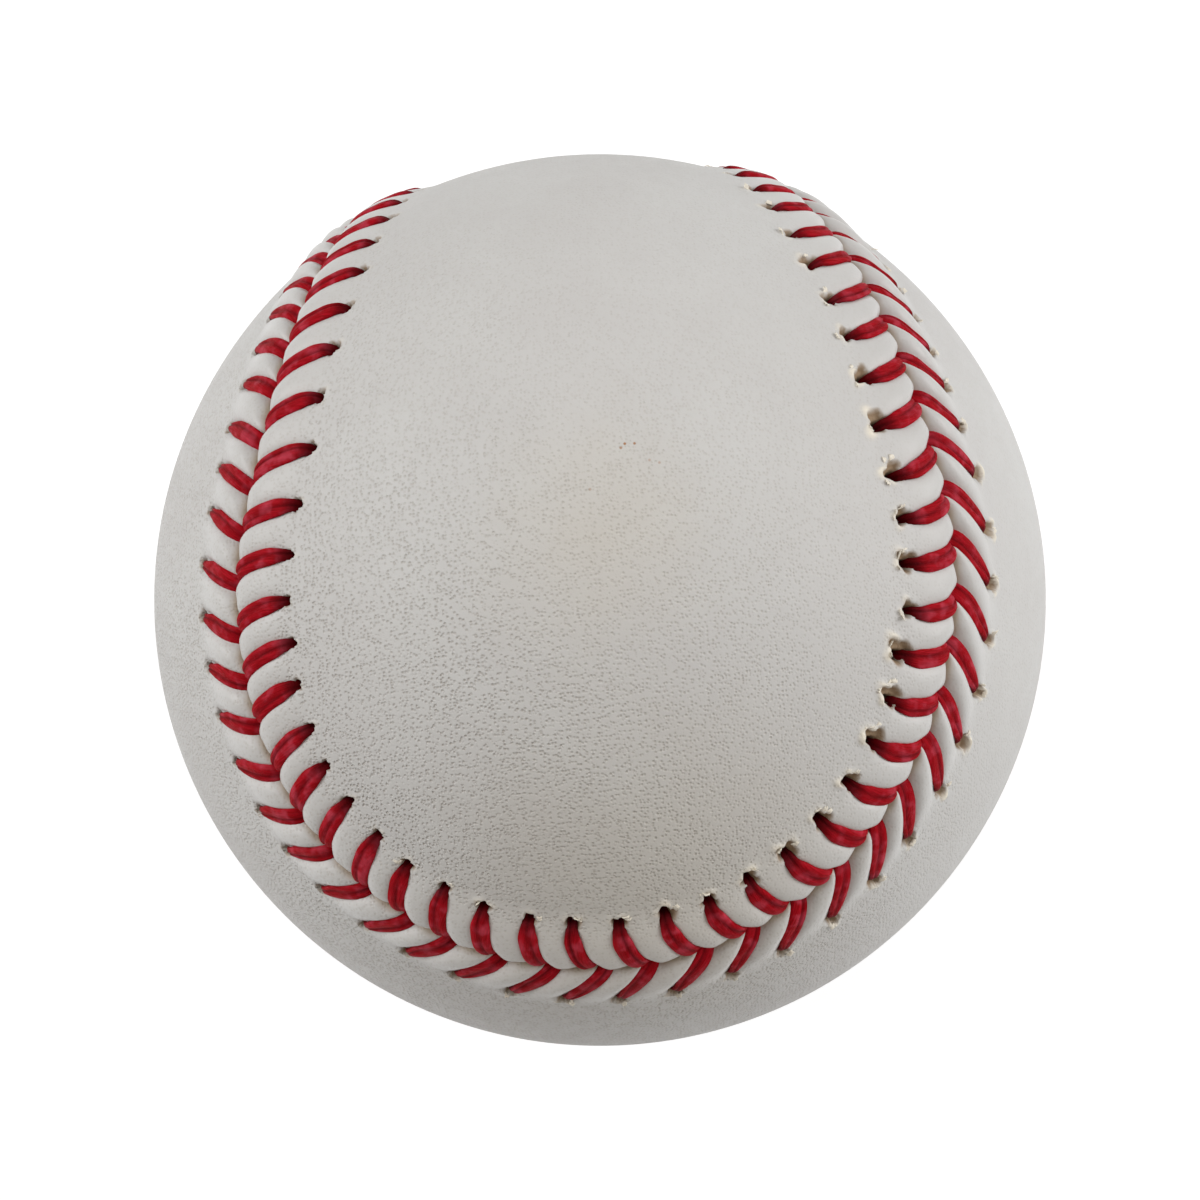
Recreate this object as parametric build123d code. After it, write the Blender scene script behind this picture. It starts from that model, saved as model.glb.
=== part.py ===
from build123d import *
from build123d.topology import SkipClean
import math
import os

# Ball, in millimetres, with its centre at the origin
ball_diameter = 74.2
cover_thickness = 1.25
cement_thickness = 0.45
bond_gap = 0.05

# Cushioned centre
cork_diameter = 20.6
shell_thickness = 4.0
jacket_thickness = 2.4
gasket_diameter = 7.0

# Windings: the first one fills the space between the centre and the other three
second_winding = 1.7
third_winding = 2.2
fourth_winding = 0.5

# Seam: equal circular arcs on the ball, one round each of the four lobes of the two panels
waist_width = 31.0
seam_gap = 0.12
stitch_count = 108
arc_count = 4

# Raised rim of each panel: height and place of its crest, from crest to foot, and the whole band
rim_height = 0.6
rim_centre = 2.6
rim_reach = 3.0
rim_band = 7.0

# Stitch holes, and the eyes between the panel edges where the thread goes down.
# The first hole's place along the seam and the lead of an eye are counted in stitches.
hole_offset = 4.8
hole_diameter = 1.2
first_hole = 0.29
eye_width = 1.1
vertex_lead = 0.6

# Thread: thickness, width on the cover, in a hole, in an eye and under the cover, bend, clearance
thread_thickness = 0.5
leg_width = 1.4
hole_thread_width = 0.9
eye_thread_width = 0.85
hidden_width = 1.1
thread_bend = 0.6
thread_clearance = 0.06

# Layers, from the cover inwards and from the cork outwards
ball_radius = ball_diameter / 2
cover_inner = ball_radius - cover_thickness
cement_outer = cover_inner - bond_gap
cement_inner = cement_outer - cement_thickness
cement_margin = hole_offset + hole_diameter
winding_4_outer = cement_inner - bond_gap
winding_4_inner = winding_4_outer - fourth_winding
winding_3_outer = winding_4_inner - bond_gap
winding_3_inner = winding_3_outer - third_winding
winding_2_outer = winding_3_inner - bond_gap
winding_2_inner = winding_2_outer - second_winding
winding_1_outer = winding_2_inner - bond_gap
shell_inner = cork_diameter / 2 + bond_gap
shell_outer = shell_inner + shell_thickness
jacket_inner = shell_outer + bond_gap
jacket_outer = jacket_inner + jacket_thickness
winding_1_inner = jacket_outer + bond_gap

# Seam arcs: tilt of the lobe axes, angle from a lobe axis to the seam, half the sweep of an arc
waist_angle = waist_width / ball_diameter
diagonal = math.sqrt(0.5)
tilt = math.atan2(diagonal - math.sin(waist_angle), math.cos(waist_angle))
lobe_angle = math.acos(diagonal * math.cos(tilt))
half_sweep = math.pi / 2 + math.atan(math.sin(tilt))
stitches_per_arc = stitch_count // arc_count
stitch_pitch = 2 * half_sweep * math.sin(lobe_angle) * ball_radius / stitches_per_arc

# The rim is a round bead whose circle passes through the crest and the foot
bead_radius = (rim_reach**2 + rim_height**2) / (2 * rim_height)
bead_orbit = ball_radius + rim_height - bead_radius

# Two threads share an eye side by side, and lie just clear of what is under them
thread_lie = thread_thickness / 2 + thread_clearance
thread_lane = (eye_thread_width / 2 + thread_clearance) / stitch_pitch
eye_length = 2 * (eye_thread_width + 2 * thread_clearance) + eye_width / 3
hidden_radius = winding_4_outer + thread_lie

centre = Vector(0, 0, 0)
waist_pole = Vector(0, 1, 0)
rise = math.sin(tilt)
run = math.cos(tilt)

# Each arc: its lobe axis, the direction to the lobe's tip, and the way along the seam at the tip.
# Panel A has its lobes in the second and fourth arcs, panel B in the first and third.
arcs = [
    (Vector(run, rise, 0), Vector(-rise, run, 0), Vector(0, 0, 1)),
    (Vector(0, -rise, run), Vector(0, -run, -rise), Vector(-1, 0, 0)),
    (Vector(-run, rise, 0), Vector(rise, run, 0), Vector(0, 0, -1)),
    (Vector(0, -rise, -run), Vector(0, -run, rise), Vector(1, 0, 0)),
]


def seam_frame(stitch):
    """Outward direction, way along the seam and way into panel A, at a place counted in stitches."""
    place = stitch % stitch_count
    arc = int(place // stitches_per_arc)
    axis, tip, along = arcs[arc]
    turn = ((place - arc * stitches_per_arc) / stitches_per_arc * 2 - 1) * half_sweep
    spoke = tip * math.cos(turn) + along * math.sin(turn)
    outward = axis * math.cos(lobe_angle) + spoke * math.sin(lobe_angle)
    forward = along * math.cos(turn) - tip * math.sin(turn)
    from_axis = spoke * math.cos(lobe_angle) - axis * math.sin(lobe_angle)
    return outward, forward, from_axis if arc % 2 == 0 else from_axis * -1


def beside_seam(stitch, offset):
    """The same three directions at a distance beside the seam, positive into panel A."""
    outward, forward, into_a = seam_frame(stitch)
    turn = offset / ball_radius
    here = outward * math.cos(turn) + into_a * math.sin(turn)
    across = into_a * math.cos(turn) - outward * math.sin(turn)
    return here, forward, across


def rim_radius(offset, depth):
    """Distance from the ball's centre to the leather, at a depth under its face and beside the seam."""
    turn = (abs(offset) - rim_centre) / ball_radius
    plain = ball_radius - depth
    left = (bead_radius - depth)**2 - (bead_orbit * math.sin(turn))**2
    if left <= 0:
        return plain
    return max(plain, bead_orbit * math.cos(turn) + math.sqrt(left))


def foot_angle(depth):
    """Angle between the bead's centre and the line where the bead meets the round of the ball."""
    plain = ball_radius - depth
    bead = bead_radius - depth
    return math.acos((bead_orbit**2 + plain**2 - bead**2) / (2 * bead_orbit * plain))


def polar(angle, radius):
    """Point of a section at an angle from the lobe axis."""
    return (radius * math.sin(angle), radius * math.cos(angle))


def rim_profile(side):
    """Section of the leather beside the seam, inside the lobe (side -1) or outside it (side 1)."""
    edge = lobe_angle + side * seam_gap / 2 / ball_radius
    crest = lobe_angle + side * rim_centre / ball_radius
    far = lobe_angle + side * rim_band / ball_radius
    lines = []
    for depth in (0, cover_thickness):
        plain = ball_radius - depth
        foot = crest + side * foot_angle(depth)
        edge_point = polar(edge, rim_radius(seam_gap / 2, depth))
        crest_point = polar(crest, plain + rim_height)
        foot_point = polar(foot, plain)
        lines.append(ThreePointArc(edge_point, crest_point, foot_point))
        lines.append(ThreePointArc(foot_point, polar((foot + far) / 2, plain), polar(far, plain)))
    lines.append(Line(lines[0] @ 0, lines[2] @ 0))
    lines.append(Line(lines[1] @ 1, lines[3] @ 1))
    return make_face(lines)


def turned(profile, arc):
    """A section turned about a lobe axis through the whole sweep of that lobe's arc."""
    axis, tip, along = arcs[arc]
    start = tip * math.cos(half_sweep) - axis.cross(tip) * math.sin(half_sweep)
    plane = Plane(origin=centre, x_dir=start, z_dir=start.cross(axis))
    return revolve(plane * profile, Axis(centre, axis), math.degrees(2 * half_sweep))


def lobe_cone(arc, angle):
    """Everything within an angle of a lobe axis."""
    from_tip = (Align.CENTER, Align.CENTER, Align.MIN)
    cone = Cone(0, ball_diameter * math.tan(angle), ball_diameter, align=from_tip)
    return Plane(origin=centre, z_dir=arcs[arc][0]) * cone


def layer(outer, inner):
    """A hollow ball; its poles and its join line lie off panel A."""
    return Plane(origin=centre, x_dir=waist_pole * -1, z_dir=(1, 0, 0)) * (Sphere(outer) - Sphere(inner))


def figure_eight(outer, inner, margin):
    """Panel A's share of a round layer, ending at a margin from the seam."""
    far = 2 * ball_diameter
    ring = [axis * far for axis, tip, along in arcs]
    faces = []
    for index in range(arc_count):
        pair = [ring[index], ring[(index + 1) % arc_count]]
        faces.append(Face(Wire.make_polygon([centre] + pair)))
        faces.append(Face(Wire.make_polygon([waist_pole * far] + pair)))
    region = Solid(Shell(faces))
    for arc in (0, 2):
        region = region - lobe_cone(arc, lobe_angle + margin / ball_radius)
    for arc in (1, 3):
        region = region + lobe_cone(arc, lobe_angle - margin / ball_radius)
    return layer(outer, inner) & region


def other_side(shape):
    """Panel A's shape turned over to panel B's place."""
    return shape.rotate(Axis(centre, Vector(1, 0, 1)), 180)


def leather_panel():
    """Panel A before it is punched: the plain field and the raised rim along the four arcs."""
    panel = figure_eight(ball_radius, cover_inner, rim_band)
    for arc in range(arc_count):
        panel = panel + turned(rim_profile(1 if arc % 2 == 0 else -1), arc)
    return panel


def punches(offset):
    """Cutters for a row of stitch holes at an offset, and for the eyes along the seam."""
    depth = 4 * cover_thickness
    hole = extrude(Circle(hole_diameter / 2), depth, both=True)
    eye = extrude(SlotOverall(eye_length, eye_width), depth, both=True)
    cutters = []
    for stitch in range(stitch_count):
        place = first_hole + stitch
        for cutter, where, beside in ((hole, place, offset), (eye, place - vertex_lead, 0)):
            outward, forward, across = beside_seam(where, beside)
            cutters.append(Plane(origin=outward * ball_radius, x_dir=forward, z_dir=outward) * cutter)
    return cutters


def eye_place(hole, side):
    """Where the leg from a hole goes down, in its own lane of the eye."""
    return hole - vertex_lead + side * thread_lane


def bend_steps(first, last):
    """Inset and rise of a quarter bend in three steps, between lying (0) and standing (90)."""
    steps = []
    for turn in (first, (first + last) / 2, last):
        inset = thread_bend * (1 - math.sin(math.radians(turn)))
        lift = thread_bend * (1 - math.cos(math.radians(turn)))
        steps.append((inset, lift))
    return steps


def thread_stations(first_side):
    """Places along one thread: stitch, offset, radius, width, lean along the seam, side and fold.

    From under the cover the thread comes up a hole, lies over the rim, goes down an eye and
    passes under the other panel to the next hole there.
    """
    span = hole_offset - 2 * thread_bend
    stations = []
    for step in range(stitch_count):
        fold = 1 if step % 2 == 0 else -1
        side = first_side * fold
        hole = first_hole - step
        eye = eye_place(hole, side)
        lean_in = (eye_place(hole + 1, -side) - hole) * stitch_pitch / span
        lean_leg = (eye - hole) * stitch_pitch / span
        lean_out = (hole - 1 - eye) * stitch_pitch / span
        hole_top = rim_radius(hole_offset - thread_bend, 0) + thread_lie
        eye_top = rim_radius(thread_bend, 0) + thread_lie
        rows = []
        for inset, lift in bend_steps(0, 90):
            rows.append((hole, hole_offset - inset, hidden_radius + lift, hole_thread_width, 0))
        rows[0] = rows[0][:3] + (hidden_width, lean_in)
        for inset, lift in bend_steps(90, 0):
            rows.append((hole, hole_offset - inset, hole_top - lift, hole_thread_width, 0))
        for share in (1 / 3, 2 / 3):
            offset = hole_offset - thread_bend - share * span
            place = hole + share * (eye - hole)
            rows.append((place, offset, rim_radius(offset, 0) + thread_lie, leg_width, lean_leg))
        for inset, lift in bend_steps(0, 90):
            rows.append((eye, inset, eye_top - lift, eye_thread_width, 0))
        for inset, lift in bend_steps(90, 0):
            rows.append((eye, -inset, hidden_radius + lift, eye_thread_width, 0))
        rows[-1] = rows[-1][:3] + (hidden_width, lean_out)
        for place, offset, radius, width, lean in rows:
            stations.append((place, side * offset, radius, width, lean, side, fold))
    return stations


def thread_section(middle, ahead, flat, width):
    """Outline of the flattened thread, two arcs that meet at its edges, square to its run."""
    plane = Plane(origin=middle, x_dir=flat, z_dir=ahead)
    edges = [plane.from_local_coords(Vector(end * width / 2, 0, 0)) for end in (1, -1)]
    faces = [plane.from_local_coords(Vector(0, end * thread_thickness / 2, 0)) for end in (1, -1)]
    upper = Edge.make_three_point_arc(edges[0], faces[0], edges[1])
    lower = Edge.make_three_point_arc(edges[1], faces[1], edges[0])
    return Wire([upper, lower])


def thread(first_side):
    """One needle's thread, whole, from its first hole round the ball to its last."""
    stations = thread_stations(first_side)
    middles = [beside_seam(row[0], row[1])[0] * row[2] for row in stations]
    outlines = []
    for index, (place, offset, radius, width, lean, side, fold) in enumerate(stations):
        behind = middles[max(index - 1, 0)]
        before = middles[min(index + 1, len(middles) - 1)]
        ahead = (before - behind).normalized()
        outward, forward, across = beside_seam(place, offset)
        lying = outward.cross(across * -side + forward * lean) * fold
        flat = lying - ahead * lying.dot(ahead)
        outlines.append(thread_section(middles[index], ahead, flat, width))
    length = sum((after - here).length for here, after in zip(middles, middles[1:]))
    print("thread length", round(length, 1))
    return Solid.make_loft(outlines, True)


def centre_pieces():
    """Cork core, its two rubber half shells, the two plugs between them and the jacket."""
    shell = layer(shell_outer, shell_inner)
    plug = Rot(0, 90, 0) * Cylinder(gasket_diameter / 2, ball_diameter)
    opening = Rot(0, 90, 0) * Cylinder(gasket_diameter / 2 + bond_gap, ball_diameter)
    above = Pos(0, 0, bond_gap / 2) * Box(ball_diameter, ball_diameter, ball_diameter,
                                          align=(Align.CENTER, Align.CENTER, Align.MIN))
    right = Box(ball_diameter, ball_diameter, ball_diameter, align=(Align.MIN, Align.CENTER, Align.CENTER))
    upper = (shell & above) - opening
    gasket = (shell & plug) & right
    return {
        "cork_core": Sphere(cork_diameter / 2),
        "inner_shell_upper": upper,
        "inner_shell_lower": upper.mirror(Plane.XY),
        "gasket_right": gasket,
        "gasket_left": gasket.mirror(Plane.YZ),
        "rubber_jacket": layer(jacket_outer, jacket_inner),
    }


# Faces are kept as they are made, because the round faces of neighbouring pieces share one centre
with SkipClean():
    plain_panel = leather_panel()
    cement = figure_eight(cement_outer, cement_inner, cement_margin)
    nodes = centre_pieces()
    nodes["winding_grey_four_ply"] = layer(winding_1_outer, winding_1_inner)
    nodes["winding_white_three_ply"] = layer(winding_2_outer, winding_2_inner)
    nodes["winding_grey_three_ply"] = layer(winding_3_outer, winding_3_inner)
    nodes["winding_fine_cotton"] = layer(winding_4_outer, winding_4_inner)
    nodes["cement_a"] = cement
    nodes["cement_b"] = other_side(cement)
    nodes["cover_panel_a"] = plain_panel - punches(hole_offset)
    nodes["cover_panel_b"] = other_side(plain_panel) - punches(-hole_offset)
    nodes["stitch_thread_a"] = thread(1)
    nodes["stitch_thread_b"] = thread(-1)

os.makedirs("parts", exist_ok=True)
for name, shape in nodes.items():
    solid = shape.solid()
    print(name, solid.is_valid, len(shape.solids()), round(solid.volume, 2))
    export_step(solid, f"parts/{name}.step")
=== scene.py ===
import math

import bpy
import numpy as np
from mathutils import Matrix, Vector
from mathutils.geometry import delaunay_2d_cdt


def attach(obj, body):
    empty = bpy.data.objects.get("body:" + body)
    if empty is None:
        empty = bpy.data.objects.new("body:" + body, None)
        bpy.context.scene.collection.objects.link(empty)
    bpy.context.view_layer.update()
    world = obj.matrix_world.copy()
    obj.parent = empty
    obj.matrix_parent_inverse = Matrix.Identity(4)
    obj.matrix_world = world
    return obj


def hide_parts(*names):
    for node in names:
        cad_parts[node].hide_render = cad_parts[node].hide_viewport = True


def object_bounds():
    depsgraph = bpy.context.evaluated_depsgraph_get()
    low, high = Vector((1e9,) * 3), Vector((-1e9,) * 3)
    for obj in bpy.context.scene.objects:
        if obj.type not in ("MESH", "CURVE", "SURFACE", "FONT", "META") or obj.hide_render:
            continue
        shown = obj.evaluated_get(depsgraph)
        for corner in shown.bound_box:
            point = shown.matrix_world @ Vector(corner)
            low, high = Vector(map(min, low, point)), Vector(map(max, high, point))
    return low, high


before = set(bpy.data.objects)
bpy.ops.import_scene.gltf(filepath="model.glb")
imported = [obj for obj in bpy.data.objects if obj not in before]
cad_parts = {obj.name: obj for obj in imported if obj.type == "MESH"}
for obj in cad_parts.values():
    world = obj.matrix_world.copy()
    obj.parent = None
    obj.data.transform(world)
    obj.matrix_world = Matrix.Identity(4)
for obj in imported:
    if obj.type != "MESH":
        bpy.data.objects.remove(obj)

# Sizes are in millimetres, in the part's own frame; meshes are written in metres.
MM = 0.001
cad_low, cad_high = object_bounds()
ball_radius = (cad_high.z - cad_low.z) / 2 / MM
random = np.random.default_rng(108)

# Seam, as in the part: four equal arcs, one round each lobe of the two panels
waist_width = 31.0
stitch_count = 108
arc_count = 4
first_hole = 0.29
cover_thickness = 1.25

# Where the sewn seam strays from the drawn arcs: stitch, sideways into panel A, and along the seam
seam_strays = [(23, -2.5, -0.5), (31, 0.5, -0.5), (42, -0.5, 0.5), (52, 1.5, -0.5), (60, -0.5, 0.0),
               (94, 1.5, 0.0)]
stray_reach = 5.0

# Where panel A's holes slipped forwards along the seam, and panel B's back: stitch, and the slip
hole_slips = [(22, 1.0), (27, -1.0), (55, 1.0)]

# Rolled edge of the leather: crest height and place, depth of the crease, foot, and the whole band
crest_height = 0.9
crest_place = 1.75
crease_depth = 0.8
foot_place = 6.5
band_width = 7.0
edge_roundness = 2.3

# Leather drawn down under the thread, and the crease drawn from side to side
bed_half_width = 0.5
bed_depth = {1: 0.58, -1: 0.84}
crease_wiggle = 0.38
crease_wiggle_reach = 0.2
crease_lag = 0.1
crease_edge = (0.12, 0.5)

# Round of the leather between two legs, as two powers, and where a leg's bed grows shallower towards its
# hole: from and to which share of its way, and by which share of its depth
pillow_powers = (2.4, 0.6)
bed_fades = [(0.5, 1.0, 0.55), (0.95, 1.12, 0.45)]

# Stitch holes, by panel: distance of the thread in them from the seam, share of a stitch by which they
# stand off their places, half sizes along and across the seam, how far their middles lie beyond the
# thread, and the growth of a torn hole along and across the seam
hole_reach = {1: 4.55, -1: 4.6}
hole_shift = {1: -0.05, -1: 0.09}
hole_half_along = {1: 0.5, -1: 0.38}
hole_half_across = {1: 0.55, -1: 0.36}
hole_beyond = {1: 0.2, -1: 0.08}
tear_along = {1: 0.6, -1: 0.12}
tear_across = {1: 0.2, -1: 0.3}

# One stretch of wider stitches: its middle, reach in stitches, how much farther out its holes stand, and
# the share by which its legs slant less
wide_middle = 52
wide_reach = 7
wide_growth = 0.8
wide_slant_loss = 0.22

# One stretch of slimmer legs: its middle, reach in stitches, and the share of the width lost
slim_middle = 20
slim_reach = 5
slim_loss = 0.3

# Depth of a hole and of the torn leather beside it, height of its lip, the stitch torn most, how fast the
# tearing falls off beside it, and within how many stitches of it the holes tear the other way
hole_depth = 1.3
torn_depth = 0.5
lip_height = 0.2
torn_middle = 31
torn_fall = 10
torn_reach = 11

# Growth of a rough hole's punched outline along and across the seam, and size of a tear where the holes are
# neat, with its growth where they are rough
rough_along = 0.1
rough_across = 0.3
neat_tear = 0.7
rough_tear = 0.6

# Walls of a hole, as shares of its outline from floor to rim: in the punched core, in the torn pit, and
# where raw flesh ends
core_wall = (0.6, 1.05)
pit_wall = (0.72, 1.05)
raw_wall = (0.85, 1.2)

# Lip round a hole: middle and breadth as shares of the outline, the side away from the seam where it
# stands, its share at a neat hole, and its uneven height
lip_middle = 1.25
lip_breadth = 0.3
lip_side = (-0.2, 0.9)
neat_lip = 0.3
lip_level = 0.7
lip_sway = 0.5
lip_waves = 4

# Waves of a hole's ragged outline: how many go round it, and how deep they are
ragged_waves = [(3, 0.16), (5, 0.12)]

# How far stitches differ: hole places in stitches, reach in millimetres, the rest as shares
hole_spread = 0.035
reach_spread = 0.16
lead_spread = 0.07
width_spread = 0.07
thickness_spread = 0.08
bed_spread = 0.15
size_spread = 0.15
tear_range = (0.5, 1.2)

# Curled scraps at the torn holes: length, width, thickness, and where round a hole they stand, in degrees
chips_per_hole = {1: 3, -1: 1.5}
chip_length = (0.35, 0.75)
chip_width = (0.4, 0.8)
chip_thickness = 0.1
chip_angles = (40, 190)

# Scraps in detail: lean and curl in degrees, how far out and how deep they are rooted, their uneven tops,
# the shares of width and thickness lost at the tip, and their grid of points, wide and tall
chip_lean = (60, 110)
chip_curl = (30, 130)
chip_ring = 1.05
chip_root = 0.12
chip_top = (0.55, 0.45)
chip_top_waves = (2, 4)
chip_top_start = (0, 6)
chip_narrowing = 0.4
chip_thinning = 0.7
chip_grid = (7, 5)

# Thread: width and thickness of a leg, radius of its bend into a hole, and depth of its hidden run
leg_width = 1.5
leg_thickness = 0.62
hole_bend = 0.75
hidden_depth = 1.49

# Groove between the two plies: depth, breadth, sway to either side and turn along a leg
ply_groove = 0.5
groove_breadth = 0.2
groove_sway = 0.35
groove_turn = 1.6

# Fibres: share of a leg's thickness in their places round it, and the share of its way shaded at a hole;
# and the sideways step, in millimetres, under which a thread counts as upright
thickness_in_girth = 0.35
hole_shade = (0.02, 0.2)
upright_under = 0.02

# A leg: share of its thickness at the hole and where it is full, the share of it over the bed, its dive
# into the seam, where dive and last taper start, and how near the seam its bed is level
hole_thinness = 0.75
full_thickness_at = 0.3
lying_share = 0.42
dive_depth = 0.35
dive_start = 0.78
last_taper_start = 0.6
least_distance = 0.2

# Thread out of sight: width and thickness in a hole and under the cover, heights over the hidden run where
# it rises to a hole and sinks at the seam, and where the run starts and ends
hole_width = 0.85
hole_thickness = 0.45
hidden_width = 0.8
hidden_thickness = 0.42
rises = (0.25, 0.6)
sink = 0.45
hidden_start = 0.12
hidden_end_gap = 0.02

# Paths of the legs from hole (0, 1) to seam: share of a stitch along it, share of the hole's distance.
# Panel A's legs leave their holes square to the seam, and panel B's run slanted all the way.
leg_paths = {
    1: [(0, 1), (0.02, 0.62), (0.24, 0.17), (0.57, -0.05)],
    -1: [(0, 1), (0.3, 0.56), (0.62, 0.17), (0.95, -0.06)],
}

# Width of a leg at its hole and at the seam, as shares of its full width, and how far its taper runs
leg_ends = {1: (0.66, 0.7), -1: (0.42, 0.95)}
leg_tapers = {1: 0.28, -1: 0.42}

# Mesh of the leather: columns in a stitch and how they crowd at the holes, and rows on the roll, the slope,
# at the holes and at the foot, with the places where these meet
samples_per_stitch = 21
column_crowding = 0.3
row_counts = (10, 9, 16, 3)
roll_start = 0.06
holes_start = 4.0
holes_end = 6.4

# Places along the seam, in stitches, between which one stitch shapes the leather, and the distance from the
# seam at which its finish starts to change
stitch_window = (-1.7, 0.9)
near_seam_start = 2.0

# Spacing of the points on the open leather and on the lining, their clearance from the edge, and the rings
# of points beside it: every so many columns, at a distance
open_spacing = 0.95
open_clearance = 1.25
open_rings = ((2, 0.22), (4, 0.62))
lining_spacing = 3.0
lining_clearance = 5.0
lining_rings = ((3, 0.6), (9, 1.6), (18, 3.6))
lining_drop = 0.02

# Mesh of the thread: steps at the bend, over a leg, along its curve and under the cover, points round it,
# and the power that squares its section
bend_steps = 6
leg_steps = 20
curve_steps = 120
shape_steps = 61
hidden_steps = 6
ring_points = 24
ring_squareness = 0.85

# Pores: cells in a metre, sway in metres, the way in which they grow coarser, the places between which they
# do, and their shares at the two
pore_scale = 3500.0
pore_sway = 0.00012
coarse_way = (-0.7, -0.7, 0)
coarse_places = (-18, 30)
coarse_shares = (0.45, 1.6)

# Two faint yellow stains on the open leather, each with its reach and strength, and a few brown specks,
# each with its strength; their places are seen from above
stains = {(1.5, -7.0): (17.0, 0.2), (3.0, -30.0): (26.0, 0.22)}
speck_size = 0.15
specks = {
    (3.7, -0.5): 0.9,
    (4.4, -0.5): 0.8,
    (3.4, -0.8): 0.7,
    (1.0, -3.8): 0.4,
    (5.4, -1.8): 0.4,
    (6.1, -2.0): 0.4,
}

# Colours as they look on a screen, of the leather with its marks and of the thread
leather_tones = ((201, 200, 199), (206, 206, 205))
stain_tone = (194, 180, 152)
# Darker pores: dirt in them and painted shade
pore_dirt_and_shade_tone = (172, 163, 151)
wrinkle_tone = (190, 182, 170)
# Tan of the cut edge at the crease, with painted shade of the crease
edge_tan_and_crease_shade_tone = (176, 158, 134)
speck_tone = (158, 104, 48)
raw_tone = (156, 134, 110)
# Near black in a hole's deep core: painted shade
painted_pit_shade_tone = (42, 32, 26)
# Cream of the torn fibres at a hole's lip and on the scraps, brightened as painted light
torn_cream_and_painted_light_tone = (238, 231, 216)
thread_tones = ((139, 5, 12), (179, 20, 37))
# Pale pink patches on the thread: painted highlight, partly lint
lint_and_highlight_tone = (206, 80, 100)
# Dark red in the groove between the plies: painted shade
painted_groove_shade_tone = (84, 2, 8)
shaded_tone = (60, 3, 8)

# Camera, from the photograph: angles in degrees, distance in ball radii, lens on a 36 mm sensor
camera_elevation = 71.61
camera_azimuth = 5.78
camera_roll = -9.55
camera_distance = 6.636
camera_lens = 87.75
sensor_width = 36.0

# Soft boxes: side and height in degrees, the share of full light that each gives, and its share of blue;
# their distance and size are in metres
soft_boxes = {
    "right": (95, 25, 0.68, 1.0),
    "left": (255, 35, 0.64, 1.0),
    "top": (160, 75, 0.19, 1.0),
    "front": (0, 50, 0.07, 0.75),
}
box_distance = 1.0
box_size = 0.7
sky_light = 0.225
sky_warmth = (1, 0.92, 0.82)

# Floor: radii of its rings in metres, and sides
floor_rings = (0.08, 0.25, 0.7, 2.0)
floor_sides = 64

waist_angle = waist_width / 2 / ball_radius
diagonal = math.sqrt(0.5)
tilt = math.atan2(diagonal - math.sin(waist_angle), math.cos(waist_angle))
lobe_angle = math.acos(diagonal * math.cos(tilt))
half_sweep = math.pi / 2 + math.atan(math.sin(tilt))
stitches_per_arc = stitch_count // arc_count
stitch_pitch = 2 * half_sweep * math.sin(lobe_angle) * ball_radius / stitches_per_arc
rise = math.sin(tilt)
run = math.cos(tilt)

# Each arc: its lobe axis, the direction to the lobe's tip, and the way along the seam at the tip
arcs = np.array([
    [(run, rise, 0), (-rise, run, 0), (0, 0, 1)],
    [(0, -rise, run), (0, -run, -rise), (-1, 0, 0)],
    [(-run, rise, 0), (rise, run, 0), (0, 0, -1)],
    [(0, -rise, -run), (0, -run, rise), (1, 0, 0)],
])


def seam_frame(stitch):
    """Outward direction, way along the seam and way into panel A, at places counted in stitches."""
    place = np.mod(stitch, stitch_count)
    arc = np.minimum(place // stitches_per_arc, arc_count - 1).astype(int)
    turn = ((place / stitches_per_arc - arc) * 2 - 1)[..., None] * half_sweep
    axis, tip, along = np.moveaxis(arcs[arc], -2, 0)
    spoke = tip * np.cos(turn) + along * np.sin(turn)
    outward = axis * math.cos(lobe_angle) + spoke * math.sin(lobe_angle)
    forward = along * np.cos(turn) - tip * np.sin(turn)
    from_axis = spoke * math.cos(lobe_angle) - axis * math.sin(lobe_angle)
    return outward, forward, from_axis * np.where(arc % 2 == 0, 1, -1)[..., None]


def stitches_past(stitch, middle):
    """How far places lie past another on the closed seam, or short of it if negative."""
    return np.mod(stitch - middle + stitch_count / 2, stitch_count) - stitch_count / 2


def nearness(stitch, middle, reach):
    """1 at one place of the seam, falling to 0 beside it."""
    return np.exp(-(stitches_past(stitch, middle) / reach)**2)


def strayed(stitch, offset):
    """The place where a point beside the drawn seam lies once the seam has been sewn."""
    sideways = np.zeros_like(stitch)
    along = np.zeros_like(stitch)
    for middle, side_shift, along_shift in seam_strays:
        near = nearness(stitch, middle, stray_reach)
        sideways = sideways + side_shift * near
        along = along + along_shift * near
    for middle, slip in hole_slips:
        along = along + slip * nearness(stitch, middle, stray_reach) * offset / hole_reach[1]
    return stitch + along / stitch_pitch, offset + sideways


def cover_frame(stitch, offset):
    """Outward, along and across directions beside the seam; offsets are positive into panel A."""
    stitch, offset = strayed(*np.broadcast_arrays(np.asarray(stitch, float), np.asarray(offset, float)))
    outward, forward, into_a = seam_frame(stitch)
    turn = (offset / ball_radius)[..., None]
    here = outward * np.cos(turn) + into_a * np.sin(turn)
    across = into_a * np.cos(turn) - outward * np.sin(turn)
    return here, forward, across


def cover_point(stitch, offset, height):
    """Point at a height over the round of the ball."""
    here = cover_frame(stitch, offset)[0]
    return here * (ball_radius + np.asarray(height, float)[..., None])


def on_top(x, y):
    """Point of the ball's upper side at a place seen from above, in metres."""
    return (x * MM, y * MM, math.sqrt(ball_radius**2 - x * x - y * y) * MM)


def smooth_step(low, high, value):
    """0 below low and 1 above high, with a smooth rise between."""
    share = np.clip((value - low) / (high - low), 0, 1)
    return share * share * (3 - 2 * share)


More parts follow.
